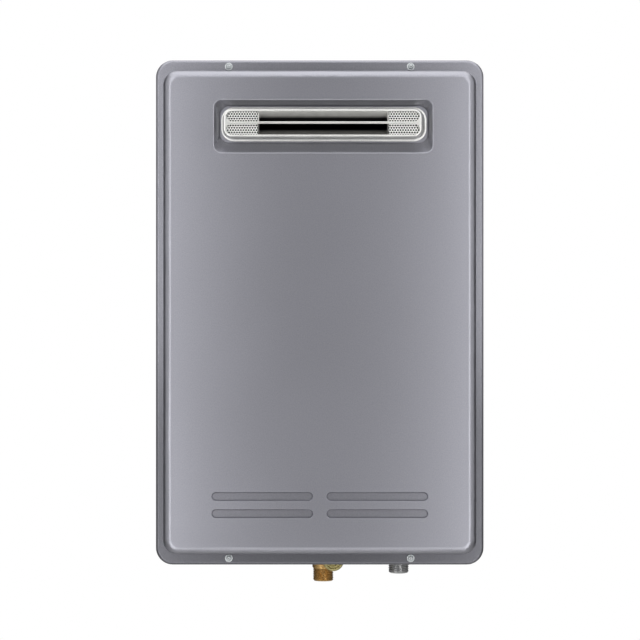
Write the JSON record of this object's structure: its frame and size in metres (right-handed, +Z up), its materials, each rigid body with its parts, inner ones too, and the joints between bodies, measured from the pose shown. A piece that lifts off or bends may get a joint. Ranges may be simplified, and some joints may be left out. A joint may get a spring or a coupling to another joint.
{
  "type": "tankless water heater",
  "caption": "Wall-hung outdoor gas water heater: flat steel case with a raised cover, an exhaust outlet in a recess, and water and gas fittings below.",
  "frame": {"origin": "centre of the four wall holes, on the wall plane", "axes": "+X to the right seen from the front, the front faces -Y, +Z up"},
  "size_m": [0.33, 0.15, 0.54],
  "materials": {
    "silver_paint": "metallic silver-grey paint, semi-gloss",
    "galvanised_steel": "zinc-coated sheet",
    "polished_steel": "polished stainless steel",
    "screen_steel": "perforated light steel",
    "duct_steel": "satin stainless steel, blackened inside by heat",
    "seal_rubber": "foam rubber",
    "heat_seal": "heat-resisting seal",
    "screw_zinc": "bright zinc",
    "brass": "machined brass",
    "yellow_zinc": "yellow-passivated zinc",
    "nickel": "dark nickel plate",
    "copper": "copper",
    "cast_aluminium": "die-cast",
    "black_plastic": "matt",
    "white_plastic": "matt",
    "board_green": "laminate",
    "ceramic": "unglazed ceramic",
    "soft_iron": "bright iron"
  },
  "bodies": {
    "unit": {"case_back_panel": "silver_paint", "case_left_side": "silver_paint", "case_right_side": "silver_paint", "case_top": "silver_paint", "case_bottom": "silver_paint", "front_cover": "silver_paint", "cover_gasket": "seal_rubber", "cover_screws": "screw_zinc", "cover_nuts": "screw_zinc", "upper_wall_bracket": "galvanised_steel", "lower_wall_bracket": "galvanised_steel", "bracket_rivets": "cast_aluminium", "exhaust_outlet_frame": "polished_steel", "exhaust_screen_left": "screen_steel", "exhaust_screen_right": "screen_steel", "exhaust_gasket": "heat_seal", "exhaust_throat": "duct_steel", "flue_hood": "galvanised_steel", "heat_exchanger_shell": "copper", "exchanger_brackets": "galvanised_steel", "exchanger_fins": "copper", "exchanger_tubes": "copper", "burner_box": "galvanised_steel", "burner_blades": "galvanised_steel", "gas_manifold": "cast_aluminium", "gas_nozzles": "brass", "ignition_electrode": "ceramic", "flame_sensor": "ceramic", "fan_housing": "galvanised_steel", "fan_motor": "black_plastic", "cold_water_inlet": "brass", "strainer_cap": "yellow_zinc", "strainer": "screen_steel", "lower_turbine_bearing": "white_plastic", "upper_turbine_bearing": "white_plastic", "regulator_motor": "black_plastic", "hot_water_outlet": "brass", "gas_inlet": "nickel", "port_locknuts": "brass", "cable_gland": "black_plastic", "cold_pipe": "copper", "hot_pipe": "copper", "gas_pipe": "galvanised_steel", "gas_valve_body": "cast_aluminium", "gas_valve_coils": "black_plastic", "control_box": "black_plastic", "control_board": "board_green", "control_cover": "white_plastic", "ignition_transformer": "black_plastic", "overheat_thermostat": "black_plastic", "outlet_thermistor": "brass", "frost_heaters": "ceramic", "earth_screw": "screw_zinc"},
    "fan_wheel": {"fan_impeller": "galvanised_steel"},
    "turbine": {"flow_turbine": "white_plastic"},
    "water_regulator": {"regulator_spindle": "brass"},
    "first_shutoff": {"first_shutoff_plunger": "soft_iron"},
    "second_shutoff": {"second_shutoff_plunger": "soft_iron"},
    "modulator": {"modulating_plunger": "soft_iron"}
  },
  "joints": [
    {"name": "fan_spin", "type": "hinge", "parent": "unit", "child": "fan_wheel", "pos_m": [-0.042, -0.036, -0.165], "axis": [0, 1, 0], "continuous": true},
    {"name": "turbine_spin", "type": "hinge", "parent": "unit", "child": "turbine", "pos_m": [0.0036, -0.075, -0.206], "axis": [0, 0, 1], "continuous": true},
    {"name": "regulator_turn", "type": "hinge", "parent": "unit", "child": "water_regulator", "pos_m": [0.0036, -0.09, -0.172], "axis": [0, 1, 0], "range_deg": [0, 80]},
    {"name": "first_shutoff_slide", "type": "slide", "parent": "unit", "child": "first_shutoff", "axis": [0, -1, 0], "range_m": [0, 0.003], "stiffness_N_per_m": 400, "springref_m": -0.004},
    {"name": "second_shutoff_slide", "type": "slide", "parent": "unit", "child": "second_shutoff", "axis": [0, -1, 0], "range_m": [0, 0.003], "stiffness_N_per_m": 400, "springref_m": -0.004},
    {"name": "modulator_slide", "type": "slide", "parent": "unit", "child": "modulator", "axis": [0, -1, 0], "range_m": [0, 0.003], "stiffness_N_per_m": 300, "springref_m": -0.003}
  ]
}
